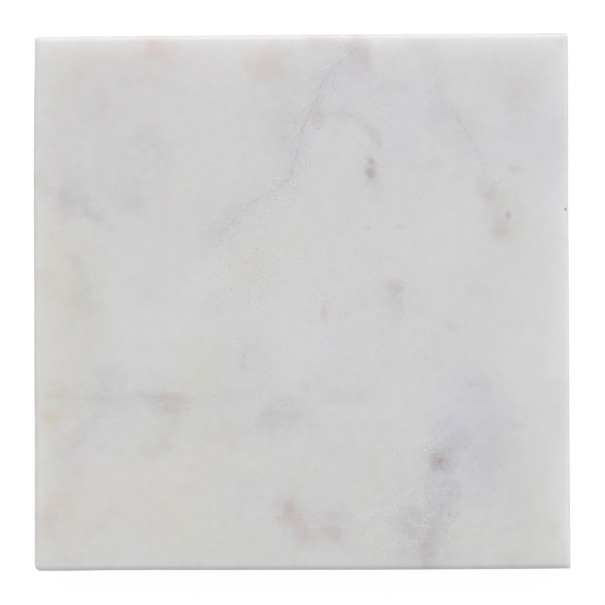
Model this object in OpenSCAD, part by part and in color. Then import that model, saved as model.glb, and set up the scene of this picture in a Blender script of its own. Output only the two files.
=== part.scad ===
// Square marble drink coaster: a honed stone slab on four round, self-adhesive cork feet.
// Origin: on the table, under the middle of the slab. +Z is up, and -Y is the front.

/* [Slab] */
// Side of the square slab, along X and along Y
slab_side = 100; // [80:1:120]
// Thickness of the stone
slab_thick = 10; // [6:0.5:15]

/* [Slab edges] */
// Radius of the eased edge that runs round the top face
top_ease_r = 1; // [0.5:0.1:3]
// Leg of the small 45 degree arris that runs round the underside
base_arris = 0.5; // [0.2:0.1:1.5]
// Radius of the upright corner at the front left
corner_r_front_left = 1.1; // [0.2:0.1:5]
// Radius of the upright corner at the front right
corner_r_front_right = 0.3; // [0.2:0.1:5]
// Radius of the upright corner at the back right
corner_r_back_right = 0.4; // [0.2:0.1:5]
// Radius of the upright corner at the back left
corner_r_back_left = 0.8; // [0.2:0.1:5]

/* [Feet] */
// Diameter of a cork foot
foot_d = 12; // [8:0.5:20]
// Thickness of the cork
foot_thick = 2; // [1:0.1:4]
// Radius of the soft rim where the cork meets the table
foot_rim_r = 0.4; // [0.1:0.05:0.8]
// Distance from a side of the slab to the centre of a foot
foot_inset = 14; // [11:0.5:25]

/* [Adhesive] */
// Thickness of the adhesive film between the cork and the stone
film_thick = 0.2; // [0.1:0.05:0.5]
// How far the rim of the film stays inside the rim of the cork
film_margin = 0.2; // [0.1:0.05:1]

/* [Hidden] */
$fn = 96;

// How far a cutter runs past the stone that it cuts
overrun = 2;
// A cutter's length, which passes the ends of a side
pass_length = slab_side + 2 * overrun;
// Levels of the stack, from the table up
film_base_z = foot_thick;
slab_base_z = film_base_z + film_thick;
slab_top_z = slab_base_z + slab_thick;
// How far a foot's centre is from the middle of the slab, along X and along Y
foot_reach = slab_side / 2 - foot_inset;

marble_white = [0.81, 0.805, 0.8];
cork_tan = [0.64, 0.46, 0.29];
film_cream = [0.86, 0.84, 0.77];

// What a rounding of radius r takes off a square outer corner at the 2D origin,
// where the material lies towards -X and -Y
module rounding_waste(r) {
    difference() {
        translate([-r, -r]) square(r + overrun);
        translate([-r, -r]) circle(r);
    }
}

// What a 45 degree chamfer takes off the same corner
module chamfer_waste(leg) {
    polygon([[-leg, 0], [-leg, overrun], [overrun, overrun], [overrun, -leg], [0, -leg]]);
}

// Plan of the slab: the sawn square with its four upright corners rubbed round
module slab_plan() {
    corners = [
        [-1, -1, corner_r_front_left],
        [1, -1, corner_r_front_right],
        [1, 1, corner_r_back_right],
        [-1, 1, corner_r_back_left],
    ];
    difference() {
        square(slab_side, center = true);
        for (corner = corners)
            scale([corner[0], corner[1]])
                translate([slab_side / 2, slab_side / 2])
                    rounding_waste(corner[2]);
    }
}

// One pass of the edge tools along the side at +X: the round-over above and the arris below
module edge_pass() {
    rotate([90, 0, 0])
        linear_extrude(pass_length, center = true) {
            translate([slab_side / 2, slab_top_z]) rounding_waste(top_ease_r);
            translate([slab_side / 2, slab_base_z]) mirror([0, 1]) chamfer_waste(base_arris);
        }
}

// The stone: each side is eased in one straight pass, so the edges meet in mitres at the corners
module stone_slab() {
    color(marble_white)
        difference() {
            translate([0, 0, slab_base_z]) linear_extrude(slab_thick) slab_plan();
            for (turn = [0:90:270])
                rotate([0, 0, turn]) edge_pass();
        }
}

// One die-cut cork disc, standing on the table, with its lower rim pressed soft
module cork_foot() {
    color(cork_tan)
        rotate_extrude()
            difference() {
                square([foot_d / 2, foot_thick]);
                translate([foot_d / 2, 0]) mirror([0, 1]) rounding_waste(foot_rim_r);
            }
}

// The disc of adhesive film that holds a foot to the underside of the stone
module adhesive_film() {
    color(film_cream)
        translate([0, 0, film_base_z])
            cylinder(h = film_thick, r = foot_d / 2 - film_margin);
}

// Puts a foot's pieces under one corner: side_x is -1 left or 1 right, side_y -1 front or 1 back
module under_corner(side_x, side_y) {
    translate([side_x * foot_reach, side_y * foot_reach]) children();
}

stone_slab();

under_corner(-1, -1) cork_foot();  // cork_foot_front_left
under_corner(1, -1) cork_foot();  // cork_foot_front_right
under_corner(-1, 1) cork_foot();  // cork_foot_back_left
under_corner(1, 1) cork_foot();  // cork_foot_back_right

under_corner(-1, -1) adhesive_film();  // adhesive_film_front_left
under_corner(1, -1) adhesive_film();  // adhesive_film_front_right
under_corner(-1, 1) adhesive_film();  // adhesive_film_back_left
under_corner(1, 1) adhesive_film();  // adhesive_film_back_right
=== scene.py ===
import math
import bmesh
import bpy
from mathutils import Matrix, Vector, noise


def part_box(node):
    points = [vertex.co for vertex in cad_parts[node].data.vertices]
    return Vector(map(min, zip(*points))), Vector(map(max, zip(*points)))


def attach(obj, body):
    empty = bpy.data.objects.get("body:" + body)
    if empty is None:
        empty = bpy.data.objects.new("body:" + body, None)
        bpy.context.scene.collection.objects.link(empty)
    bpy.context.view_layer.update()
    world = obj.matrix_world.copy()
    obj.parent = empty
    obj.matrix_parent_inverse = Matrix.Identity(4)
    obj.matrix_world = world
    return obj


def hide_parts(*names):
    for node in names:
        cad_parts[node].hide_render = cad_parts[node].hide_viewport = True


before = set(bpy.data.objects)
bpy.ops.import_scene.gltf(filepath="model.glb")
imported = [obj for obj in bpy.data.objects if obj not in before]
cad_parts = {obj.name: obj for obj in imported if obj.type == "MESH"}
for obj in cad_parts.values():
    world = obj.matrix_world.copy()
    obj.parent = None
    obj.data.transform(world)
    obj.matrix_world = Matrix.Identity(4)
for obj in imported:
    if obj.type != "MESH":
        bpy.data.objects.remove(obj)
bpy.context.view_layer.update()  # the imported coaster, which has one still body called root
mm = 0.001  # places and sizes below are in millimetres, and the scene is in metres
stoneLow, stoneHigh = (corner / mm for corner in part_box("stone_slab"))
footNames = ["front_left", "front_right", "back_left", "back_right"]


# How the photograph was taken: from almost straight above
photo = {
    "frameWidth": 112.86,  # across the picture, at the height of the top face
    "aim": (0.30, -0.22),  # the point of the top face in the middle of the picture
    "distance": 613,
    "lean": 1.63,  # degrees towards the front
    "sway": 2.01,  # degrees towards the right
    "roll": 0.185,  # degrees, which turns the slab anticlockwise in the picture
    "sensor": 36,
}


def makeCamera():
    lean, sway = math.radians(photo["lean"]), math.radians(photo["sway"])
    away = Vector((math.sin(sway), -math.sin(lean), 1)).normalized()
    aim = Vector((*photo["aim"], stoneHigh.z))
    lens = bpy.data.cameras.new("photoCamera")
    lens.sensor_width = photo["sensor"]
    lens.lens = photo["sensor"] * photo["distance"] / photo["frameWidth"]
    lens.clip_start = 0.01
    lens.clip_end = 20
    camera = bpy.data.objects.new("photoCamera", lens)
    bpy.context.scene.collection.objects.link(camera)
    right = Vector((0, 1, 0)).cross(away).normalized()
    turn = Matrix((right, away.cross(right), away)).transposed().to_4x4()
    roll = Matrix.Rotation(-math.radians(photo["roll"]), 4, "Z")
    camera.matrix_world = Matrix.Translation((aim + away * photo["distance"]) * mm) @ turn @ roll
    bpy.context.scene.camera = camera


# Small helpers for building node trees
def feed(tree, socket, value):
    if isinstance(value, bpy.types.NodeSocket):
        tree.links.new(value, socket)
    elif value is not None:
        socket.default_value = value


def maths(tree, operation, *values):
    made = tree.nodes.new("ShaderNodeMath")
    made.operation = operation
    for socket, value in zip(made.inputs, values):
        feed(tree, socket, value)
    return made.outputs[0]


def vectorMaths(tree, operation, *values):
    made = tree.nodes.new("ShaderNodeVectorMath")
    made.operation = operation
    for socket, value in zip(made.inputs, values):
        feed(tree, socket, value)
    return made.outputs["Value" if operation in ("LENGTH", "DOT_PRODUCT") else "Vector"]


def remap(tree, value, fromLow, fromHigh, toLow=0.0, toHigh=1.0, smooth=True):
    made = tree.nodes.new("ShaderNodeMapRange")
    made.interpolation_type = "SMOOTHSTEP" if smooth else "LINEAR"
    for label, given in (
        ("Value", value),
        ("From Min", fromLow),
        ("From Max", fromHigh),
        ("To Min", toLow),
        ("To Max", toHigh),
    ):
        feed(tree, made.inputs[label], given)
    return made.outputs[0]


def noiseOf(tree, place, size, detail=2.0, roughness=0.5, output=0):
    made = tree.nodes.new("ShaderNodeTexNoise")
    feed(tree, made.inputs["Vector"], place)
    feed(tree, made.inputs["Scale"], size if hasattr(size, "node") else 1 / size)
    made.inputs["Detail"].default_value = detail
    made.inputs["Roughness"].default_value = roughness
    return made.outputs[output]


def cellsOf(tree, place, scale, feature="F1", output="Distance"):
    made = tree.nodes.new("ShaderNodeTexVoronoi")
    made.feature = feature
    feed(tree, made.inputs["Vector"], place)
    feed(tree, made.inputs["Scale"], scale)
    return made.outputs[output]


def blend(tree, share, first, second, how="MIX"):
    made = tree.nodes.new("ShaderNodeMix")
    made.data_type = "RGBA"
    made.blend_type = how
    feed(tree, made.inputs[0], share)
    feed(tree, made.inputs[6], first)
    feed(tree, made.inputs[7], second)
    return made.outputs[2]


def colourOf(rgb):
    return (*rgb, 1.0)


def parts(tree, vector):
    made = tree.nodes.new("ShaderNodeSeparateXYZ")
    feed(tree, made.inputs[0], vector)
    return made.outputs[0], made.outputs[1], made.outputs[2]


def joined(tree, x, y, z):
    made = tree.nodes.new("ShaderNodeCombineXYZ")
    for socket, value in zip(made.inputs, (x, y, z)):
        feed(tree, socket, value)
    return made.outputs[0]


def tidyLayout(tree, rows=9):
    for i, made in enumerate(tree.nodes):
        made.location = (220 * (i // rows), -260 * (i % rows))


def newGroup(name, inputs, outputs):
    group = bpy.data.node_groups.new(name, "ShaderNodeTree")
    for label, kind, value in inputs:
        socket = group.interface.new_socket(name=label, in_out="INPUT", socket_type="NodeSocket" + kind)
        socket.default_value = value
    for label, kind in outputs:
        group.interface.new_socket(name=label, in_out="OUTPUT", socket_type="NodeSocket" + kind)
    return group, group.nodes.new("NodeGroupInput").outputs, group.nodes.new("NodeGroupOutput").inputs


def useGroup(tree, group, label="", **given):
    # the inputs are given without the blanks of their names
    made = tree.nodes.new("ShaderNodeGroup")
    made.node_tree = group
    made.label = label
    for socket in made.inputs:
        key = socket.name[0].lower() + socket.name[1:].replace(" ", "")
        feed(tree, socket, given.get(key))
    return made.outputs


# Shared effects, each built once as a node group
veinShape = {
    "shadeReach": 2.2,  # where the soft shade ends, in shade widths from the middle of the vein
    "shadeFray": 3.0,  # how ragged the rim of the shade is
    "shadeMargin": 2.5,  # how near a vein comes to a field before the field shows it, in shade widths
    "coreReach": 1.7,  # where the core ends, in core widths
    "gap": (0.47, 0.60),  # the grit that leaves a gap in the core, and the grit that fills it
}


def makeVeinGroup():
    group, given, result = newGroup(
        "veinLine",
        [
            ("Colour", "Color", (1, 1, 1, 1)),
            ("Along", "Float", 0.0),
            ("Across", "Float", 0.0),
            ("Bend", "Float", 0.5),
            ("Bend Reach", "Float", 10.0),
            ("Ragged", "Float", 0.5),
            ("Grit", "Float", 0.5),
            ("Broken", "Float", 0.5),
            ("Core Width", "Float", 0.3),
            ("Shade Width", "Float", 1.5),
            ("Fade In", "Float", 0.1),
            ("Fade Out", "Float", 0.3),
            ("Tint", "Color", (0.8, 0.8, 0.85, 1)),
            ("Shade", "Color", (0.95, 0.95, 0.96, 1)),
        ],
        [("Colour", "Color"), ("Mask", "Float")],
    )
    rise = remap(group, given["Along"], 0.0, given["Fade In"])
    fall = remap(group, maths(group, "SUBTRACT", 1.0, given["Along"]), 0.0, given["Fade Out"])
    run = maths(group, "MULTIPLY", rise, fall)
    bend = maths(group, "MULTIPLY", maths(group, "SUBTRACT", given["Bend"], 0.5), given["Bend Reach"])
    off = maths(group, "ABSOLUTE", maths(group, "SUBTRACT", given["Across"], bend))
    # the shade round the vein is soft, with a ragged rim
    fray = maths(group, "SUBTRACT", given["Ragged"], 0.5)
    fray = maths(group, "MULTIPLY", fray, given["Shade Width"])
    spread = maths(group, "MULTIPLY_ADD", fray, veinShape["shadeFray"], off)
    rim = maths(group, "MULTIPLY", given["Shade Width"], veinShape["shadeReach"])
    shade = maths(group, "MULTIPLY", remap(group, spread, rim, 0.0), run)
    # the core is a chain of dark crystals with gaps between them
    rim = maths(group, "MULTIPLY", given["Core Width"], veinShape["coreReach"])
    core = remap(group, off, rim, 0.0)
    chain = remap(group, given["Grit"], *veinShape["gap"])
    keep = maths(group, "SUBTRACT", 1.0, given["Broken"])
    core = maths(group, "MULTIPLY", core, maths(group, "MULTIPLY_ADD", chain, given["Broken"], keep))
    core = maths(group, "MULTIPLY", core, run)
    colour = blend(group, shade, given["Colour"], given["Shade"], "MULTIPLY")
    feed(group, result["Mask"], core)
    feed(group, result["Colour"], blend(group, core, colour, given["Tint"], "MULTIPLY"))
    tidyLayout(group)
    return group


def makeStainGroup():
    group, given, result = newGroup(
        "mineralStain",
        [
            ("Colour", "Color", (1, 1, 1, 1)),
            ("Place", "Vector", (0, 0, 0)),
            ("Ragged", "Float", 0.5),
            ("Raggedness", "Float", 0.6),
            ("Centre", "Vector", (0, 0, 0)),
            ("Half Size", "Vector", (1, 1, 1)),
            ("Turn", "Float", 0.0),
            ("Softness", "Float", 0.6),
            ("Tint", "Color", (0.9, 0.9, 0.9, 1)),
        ],
        [("Colour", "Color"), ("Mask", "Float")],
    )
    turned = group.nodes.new("ShaderNodeVectorRotate")
    turned.rotation_type = "Z_AXIS"
    turned.invert = True
    for label, source in (("Vector", "Place"), ("Center", "Centre"), ("Angle", "Turn")):
        feed(group, turned.inputs[label], given[source])
    local = vectorMaths(group, "SUBTRACT", turned.outputs[0], given["Centre"])
    spread = vectorMaths(group, "LENGTH", vectorMaths(group, "DIVIDE", local, given["Half Size"]))
    fray = maths(group, "SUBTRACT", given["Ragged"], 0.5)
    frayed = maths(group, "MULTIPLY_ADD", fray, given["Raggedness"], spread)
    outer = maths(group, "ADD", 1.0, given["Softness"])
    inner = maths(group, "SUBTRACT", 1.0, given["Softness"])
    mask = remap(group, frayed, outer, inner)
    feed(group, result["Mask"], mask)
    feed(group, result["Colour"], blend(group, mask, given["Colour"], given["Tint"], "MULTIPLY"))
    tidyLayout(group)
    return group


def makeCloudGroup():
    group, given, result = newGroup(
        "softClouds",
        [
            ("Colour", "Color", (1, 1, 1, 1)),
            ("Place", "Vector", (0, 0, 0)),
            ("Per Millimetre", "Float", 0.1),
            ("Low", "Float", 0.35),
            ("High", "Float", 0.65),
            ("Tint", "Color", (0.95, 0.95, 0.95, 1)),
        ],
        [("Colour", "Color"), ("Mask", "Float")],
    )
    field = noiseOf(group, given["Place"], given["Per Millimetre"], detail=3.0, roughness=0.55)
    mask = remap(group, field, given["Low"], given["High"])
    feed(group, result["Mask"], mask)
    feed(group, result["Colour"], blend(group, mask, given["Colour"], given["Tint"], "MULTIPLY"))
    tidyLayout(group)
    return group


def makeGrainGroup():
    # grains packed against each other: a random shade for each, and the seams between them
    group, given, result = newGroup(
        "packedGrains",
        [
            ("Place", "Vector", (0, 0, 0)),
            ("Per Millimetre", "Float", 2.0),
            ("Seam Width", "Float", 0.08),
        ],
        [("Shade", "Float"), ("Second Shade", "Float"), ("Seam", "Float")],
    )
    shade = cellsOf(group, given["Place"], given["Per Millimetre"], output="Color")
    first, second, _ = parts(group, shade)
    edge = cellsOf(group, given["Place"], given["Per Millimetre"], feature="DISTANCE_TO_EDGE")
    feed(group, result["Shade"], first)
    feed(group, result["Second Shade"], second)
    feed(group, result["Seam"], remap(group, edge, given["Seam Width"], 0.0))
    tidyLayout(group)
    return group


def makeSpeckGroup():
    # specks scattered one to a cell, in only some of the cells
    group, given, result = newGroup(
        "scatteredSpecks",
        [
            ("Place", "Vector", (0, 0, 0)),
            ("Per Millimetre", "Float", 0.5),
            ("Speck Size", "Float", 0.1),
            ("Share", "Float", 0.2),
        ],
        [("Mask", "Float")],
    )
    distance = cellsOf(group, given["Place"], given["Per Millimetre"])
    shade = cellsOf(group, given["Place"], given["Per Millimetre"], output="Color")
    drawn, sized, _ = parts(group, shade)
    # each speck has between 0.5 and 1.2 times the given size
    sized = maths(group, "MULTIPLY_ADD", sized, 0.7, 0.5)
    radius = maths(group, "MULTIPLY", given["Speck Size"], sized)
    inside = remap(group, distance, radius, maths(group, "MULTIPLY", radius, 0.4))
    chosen = maths(group, "LESS_THAN", drawn, given["Share"])
    feed(group, result["Mask"], maths(group, "MULTIPLY", inside, chosen))
    tidyLayout(group)
    return group


veinLine = makeVeinGroup()
mineralStain = makeStainGroup()
softClouds = makeCloudGroup()
packedGrains = makeGrainGroup()
scatteredSpecks = makeSpeckGroup()
print("node groups ready")


def newMaterial(name):
    material = bpy.data.materials.new(name)
    material.use_nodes = True
    tree = material.node_tree
    tree.nodes.clear()
    shader = tree.nodes.new("ShaderNodeBsdfPrincipled")
    output = tree.nodes.new("ShaderNodeOutputMaterial")
    tree.links.new(shader.outputs[0], output.inputs["Surface"])
    return material, tree, shader


def millimetrePlace(tree):
    coordinates = tree.nodes.new("ShaderNodeTexCoord")
    return vectorMaths(tree, "MULTIPLY", coordinates.outputs["Object"], (1 / mm, 1 / mm, 1 / mm))


def addBump(tree, shader, height, strength, distance):
    made = tree.nodes.new("ShaderNodeBump")
    made.inputs["Strength"].default_value = strength
    made.inputs["Distance"].default_value = distance * mm
    feed(tree, made.inputs["Height"], height)
    tree.links.new(made.outputs[0], shader.inputs["Normal"])


def scattered(tree, name, place, perMillimetre, size, share):
    return useGroup(
        tree,
        scatteredSpecks,
        name,
        place=place,
        perMillimetre=perMillimetre,
        speckSize=size,
        share=share,
    )["Mask"]


marble = {
    "colour": (0.662, 0.661, 0.659),
    "slant": (0.35, -0.25),  # how far the veins drift, per millimetre of depth
    "split": (0, 0),  # where the four fields of the honed faces meet
    "sideDrift": 4,  # how far over the split a field also shows, down in the sides
    "warp": 0.9,  # how far veins and stains are pushed out of line
    "warpSize": 7.0,
    "fineWarp": 0.45,
    "fineWarpSize": 1.1,
    "mottle": 0.09,  # light and dark of the cloudy grain
    "mottleSize": 2.4,
    "tintMottle": 0.045,  # how much the hue changes from blotch to blotch
    "grit": 1.3,  # size of the crystals that a vein is a chain of
    "crystal": 0.40,
    "crystalContrast": 2.0,
    "quiet": 0.5,  # share of that contrast away from the sparkling patches
    "clouds": (  # per millimetre, where a cloud begins, where it is full, tint
        (0.045, 0.40, 0.62, (0.985, 0.985, 0.985)),
        (0.16, 0.45, 0.70, (0.983, 0.981, 0.982)),
    ),
    "roughness": (0.40, 0.54),
    "sawnRoughness": (0.62, 0.78),
    "subsurface": 0.6,
    "glowRadius": (1.0, 0.92, 0.85),
    "glowScale": 13,
    "ior": 1.52,
    "relief": 0.006,
    "sawCentre": (-160, 35),  # middle of the arcs that the saw blade left on the underside
    "sawPitch": 1.7,
    "sawArcHeight": 1.2,  # against the crystals, as is the next one
    "sawStrokeHeight": 3.0,
    "sawStrokeSize": 0.6,
}


def patch(x, y, halfX, halfY, effect, turn=0, soft=0.7):
    # an oval on the top face; its effect is the tint of a stain, or how much more the crystals sparkle in
    # their painted tone
    return dict(centre=(x, y), half=(halfX, halfY), effect=effect, turn=turn, soft=soft)


# Broad tinted zones; the three along the front edge are painted shade
zones = {
    # back left
    "mauveBack": patch(-35, 36, 10, 12, (0.99, 0.975, 0.98)),
    "mauveLeft": patch(-46.5, 24, 5, 9, (0.97, 0.955, 0.962)),
    "greyBack": patch(-3, 33, 7, 9, (0.975, 0.97, 0.975), soft=0.8),
    "greyUnderArch": patch(-14, 20, 9, 8, (0.98, 0.975, 0.98), turn=30),
    "warmLeftUpper": patch(-49.5, 8, 5, 10, (1.0, 0.998, 0.962), soft=0.6),
    "pinkBack": patch(-28, 45, 13, 5, (1.0, 0.98, 0.984)),
    "greyLeftWide": patch(-35, 22, 7, 7, (0.97, 0.975, 0.975)),
    "paleBack": patch(-16, 43.5, 6, 4, (1.026, 1.02, 1.026)),
    "paleArch": patch(-12, 24, 6, 5, (1.022, 1.028, 1.026)),
    "clearMiddleLeft": patch(-18, 4, 6, 4, (1.025, 1.028, 1.03)),
    "oliveBack": patch(-46, 41, 4, 6, (1.0, 0.998, 0.98)),
    "clearLeftUpper": patch(-40.8, 27.4, 2.6, 2.6, (1.022, 1.038, 1.038)),
    "lilacBackLeft": patch(-48.8, 38.9, 2.4, 4, (1.01, 0.996, 1.012)),
    "limeArchLeft": patch(-21.0, 21.2, 3.0, 1.8, (1.012, 1.024, 0.995)),
    # back right
    "lavenderVeil": patch(20, 34, 4.5, 10, (0.985, 0.98, 1.025), turn=-18, soft=0.6),
    "lavenderCrown": patch(10, 40, 5.5, 4, (0.975, 0.97, 1.01)),
    "lavenderEdge": patch(48, 27, 4.5, 18, (0.985, 0.98, 1.02)),
    "lavenderRight": patch(41, 30, 7, 5, (0.985, 0.98, 1.015), soft=0.8),
    "clearRight": patch(27, 13, 9, 7, (1.02, 1.022, 1.022), soft=0.6),
    "rustShade": patch(38, 15, 4, 6, (0.965, 0.955, 0.95), turn=15),
    "greyRose": patch(16.6, 1.2, 4, 4, (0.967, 0.964, 0.963)),
    "greyByVein": patch(7.5, 44, 4, 4, (0.972, 0.974, 0.978)),
    "lavenderAlongVein": patch(27.8, 31.5, 3, 6.5, (0.968, 0.964, 0.985), turn=25),
    "clearRightRim": patch(45.5, 17, 4, 5, (1.018, 1.026, 1.012)),
    "clearFleck": patch(10, 27, 4, 4, (1.005, 1.01, 1.03)),
    "greyPinkWide": patch(40, 39.5, 5, 5, (0.98, 0.975, 0.98)),
    "clearBackRight": patch(36.6, 34.2, 2.6, 2.4, (1.035, 1.035, 1.045)),
    "greyRimBack": patch(49, 30.5, 2.2, 6, (0.957, 0.96, 0.963)),
    "clearBackRim": patch(47, 39, 2.4, 4.5, (1.03, 1.037, 1.028)),
    "clearByVein": patch(2.8, 30.3, 2.4, 2.6, (1.035, 1.037, 1.055)),
    "limeRimRight": patch(45, 29.9, 3.4, 3.4, (1.003, 1.008, 0.99)),
    "clearRightVein": patch(37.4, 28.4, 3.2, 1.4, (1.034, 1.034, 1.03)),
    "coolBackRim": patch(31.0, 48.7, 2.4, 1.2, (1.028, 1.023, 1.043)),
    # front left
    "warmLeft": patch(-43.5, -5, 7, 21, (1.0, 0.99, 0.955), soft=0.6),
    "warmFront": patch(-22.5, -35, 10.5, 12, (1.01, 0.999, 0.962), soft=0.6),
    "warmFrontLeft": patch(-35, -41, 11, 8, (1.003, 0.995, 0.982)),
    "greyMiddle": patch(-20, -16, 18, 9, (0.972, 0.972, 0.972), turn=5, soft=0.8),
    "clearLeft": patch(-26, -7, 8, 6, (1.025, 1.025, 1.025), soft=0.6),
    "clearMiddle": patch(-0.8, -7.5, 4.5, 7, (1.04, 1.04, 1.04), soft=0.6),
    "peachFrontLeft": patch(-47.5, -44, 7, 7, (0.997, 0.985, 0.967), soft=0.6),
    "warmFarLeft": patch(-46.5, -33, 6, 9, (0.986, 0.981, 0.964)),
    "limeBelow": patch(-20, -15.8, 4.5, 3.5, (1.018, 1.013, 0.985), soft=0.6),
    "greyFarLeft": patch(-41, -1, 4, 7, (0.967, 0.967, 0.96)),
    "greyFold": patch(-3.8, -22.8, 4.5, 3, (0.955, 0.957, 0.957), turn=15),
    "warmFrontEdge": patch(-40, -36, 4.5, 6, (1.0, 0.99, 0.97), soft=0.6),
    "paleFront": patch(-29, -48, 6, 5, (1.02, 1.022, 1.045)),
    "greyLeftRim": patch(-47, -17.5, 5, 3, (0.978, 0.972, 0.957)),
    "greyRedLeft": patch(-11.5, -36.5, 5, 4, (0.97, 0.985, 0.995)),
    "coolFront": patch(-31.3, -40.4, 2.8, 3.2, (1.013, 1.006, 1.028)),
    "lilacFrontLeft": patch(-40.6, -29.5, 2.8, 2.4, (1.016, 0.998, 1.026)),
    "pinkFrontCorner": patch(-43.8, -48.4, 3.4, 1.8, (0.994, 0.984, 1.0)),
    "clearRimLeft": patch(-48.8, -27.2, 1.6, 2.2, (1.024, 1.02, 1.005)),
    # front right
    "lavenderFront": patch(32.6, -26.0, 6.4, 11, (0.948, 0.943, 0.98), turn=-12, soft=0.6),
    "greyFront": patch(3, -36, 16, 12, (0.975, 0.972, 0.972), soft=0.8),
    "clearFarRight": patch(42, -5, 6, 14, (1.02, 1.022, 1.024)),
    # painted shade along the front margin, which faces away from the back lamp, with a yellow tint; the
    # next two lines add more painted shade at the front right
    "frontStrip": patch(0, -51, 70, 9, (0.967, 0.972, 0.955), soft=0.5),
    "frontRight": patch(40, -47, 14, 7, (0.993, 0.996, 0.984), soft=0.6),
    "frontRightUpper": patch(44, -36, 7, 7, (0.99, 0.993, 0.99)),
    "plumFrontWide": patch(21, -45, 7, 7, (0.975, 0.97, 0.98), soft=0.6),
    "greyRightFront": patch(36.5, -33, 6.5, 9, (0.965, 0.965, 0.965)),
    "greyLeftOfBand": patch(20, -37, 5, 7, (0.965, 0.97, 0.97)),
    "redShade": patch(0.5, -41.5, 5, 5, (0.983, 0.978, 0.98)),
    "lavenderPatch": patch(6.2, -7.2, 2.8, 3.4, (1.005, 1.005, 1.04), turn=-25),
    "clearFrontRim": patch(4.5, -48.5, 4, 2.5, (1.02, 1.02, 1.045)),
    "greyRightRim": patch(48.8, -21, 2.5, 6, (0.958, 0.958, 0.966)),
    "lilacRight": patch(29, -17.5, 5, 6, (0.995, 0.986, 1.02)),
    "clearFrontRight": patch(31, -48.5, 6, 3, (1.0, 1.0, 1.028)),
    "coolRim": patch(48.6, -1.1, 1.8, 4, (1.0, 0.997, 1.03)),
    "coolLavenderLow": patch(33.2, -33.6, 3, 4, (1.003, 1.002, 1.022)),
    "coolLime": patch(38.3, -42.6, 2.4, 3.4, (1.0, 1.0, 1.032)),
    "oliveFrontRim": patch(39.2, -47.7, 3.2, 1.6, (0.966, 0.968, 0.953)),
    "honeyMiddleFront": patch(0.3, -32.3, 1.9, 2.8, (0.988, 0.993, 0.962)),
}
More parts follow.
